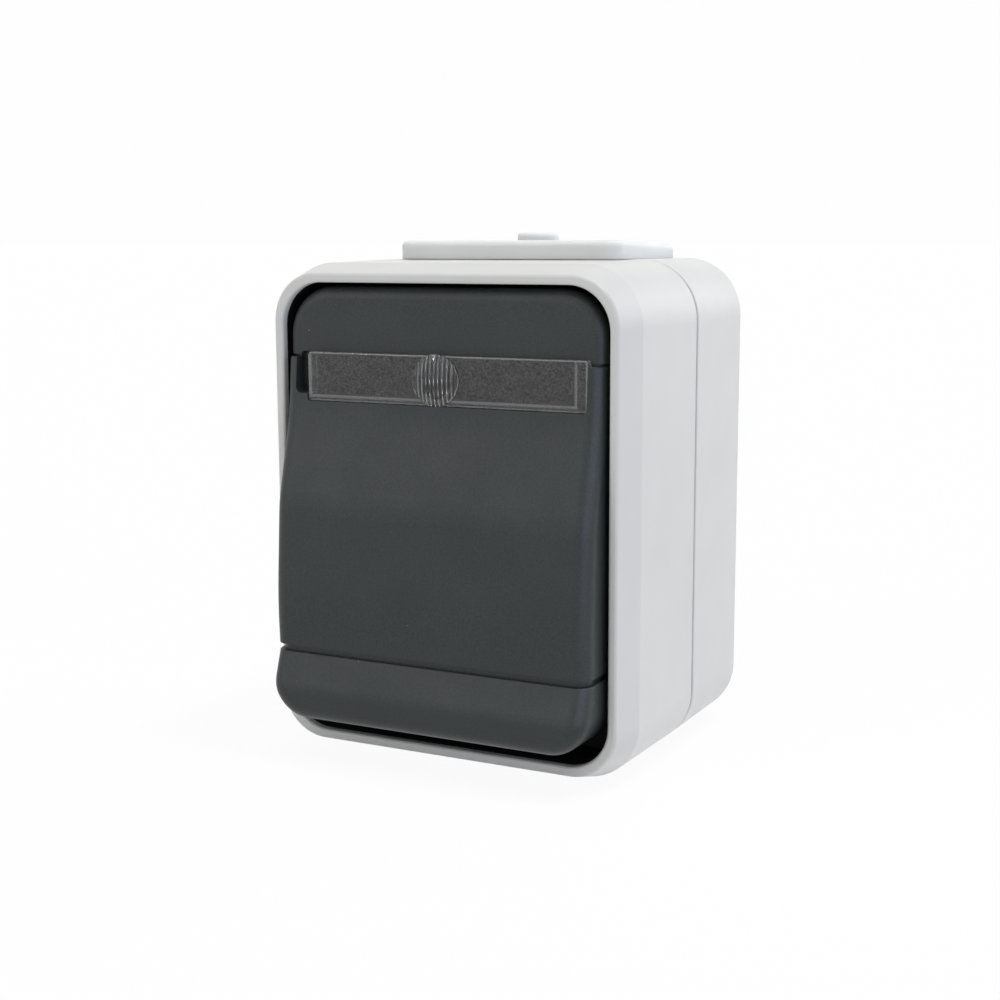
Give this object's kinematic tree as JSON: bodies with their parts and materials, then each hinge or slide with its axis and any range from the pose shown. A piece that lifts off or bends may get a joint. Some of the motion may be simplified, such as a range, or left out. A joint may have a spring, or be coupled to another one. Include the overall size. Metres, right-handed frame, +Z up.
{
  "type": "illuminated push button switch",
  "caption": "Surface-mounted splash-proof push button switch with a tilting rocker, a clear label window and an illuminated lens.",
  "frame": {"origin": "centre of the back face of the base, which lies on the wall", "axes": "+Y into the wall, +Z up towards the cable gland, +X to the right of someone who faces the rocker"},
  "size_m": [0.066, 0.0573, 0.0871],
  "materials": {
    "housing_grey": "satin light grey moulded plastic",
    "gasket_rubber": "matt grey-green rubber",
    "black_rubber": "matt black rubber",
    "gland_rubber": "matt light grey soft plastic",
    "rocker_anthracite": "satin anthracite moulded plastic",
    "clear_plastic": "clear moulded plastic",
    "lamp_glass": "clear lamp",
    "insert_black": "matt black plastic",
    "insert_ivory": "matt ivory thermoset",
    "brass": "bare brass",
    "silver": "silver contact rivets",
    "steel": "zinc-plated steel"
  },
  "bodies": {
    "housing": {"housing_base": "housing_grey", "housing_frame": "housing_grey", "parting_gasket": "gasket_rubber", "sealing_liner": "black_rubber", "cable_gland": "gland_rubber", "frame_screws": "steel", "pivot_pin": "steel", "insert_body": "insert_ivory", "insert_cover": "insert_black", "insert_screws": "steel", "fixed_rivets": "silver", "line_contact": "brass", "load_contact": "brass", "line_clamp": "brass", "load_clamp": "brass", "terminal_screws": "steel", "lamp_holder": "insert_ivory", "lamp": "lamp_glass", "lamp_leads": "brass", "earth_clamp": "brass", "earth_screw": "steel", "return_spring": "steel"},
    "rocker": {"rocker_cap": "rocker_anthracite", "label_window": "clear_plastic", "lens": "clear_plastic", "rocker_cradle": "insert_black"},
    "plunger": {"plunger": "insert_ivory", "contact_bridge": "brass", "moving_rivets": "silver"}
  },
  "joints": [
    {"name": "rocker_press", "type": "hinge", "parent": "housing", "child": "rocker", "pos_m": [0, -0.035, 0], "axis": [1, 0, 0], "range_deg": [0, 7], "stiffness_Nm_per_rad": 0.5, "springref_deg": -11.46},
    {"name": "plunger_travel", "type": "slide", "parent": "housing", "child": "plunger", "axis": [0, 1, 0], "range_m": [0, 0.0018], "deforming": ["return_spring"]}
  ],
  "couplings": [
    {"joint": "plunger_travel", "follows": "rocker_press", "m_per_rad": 0.014}
  ]
}
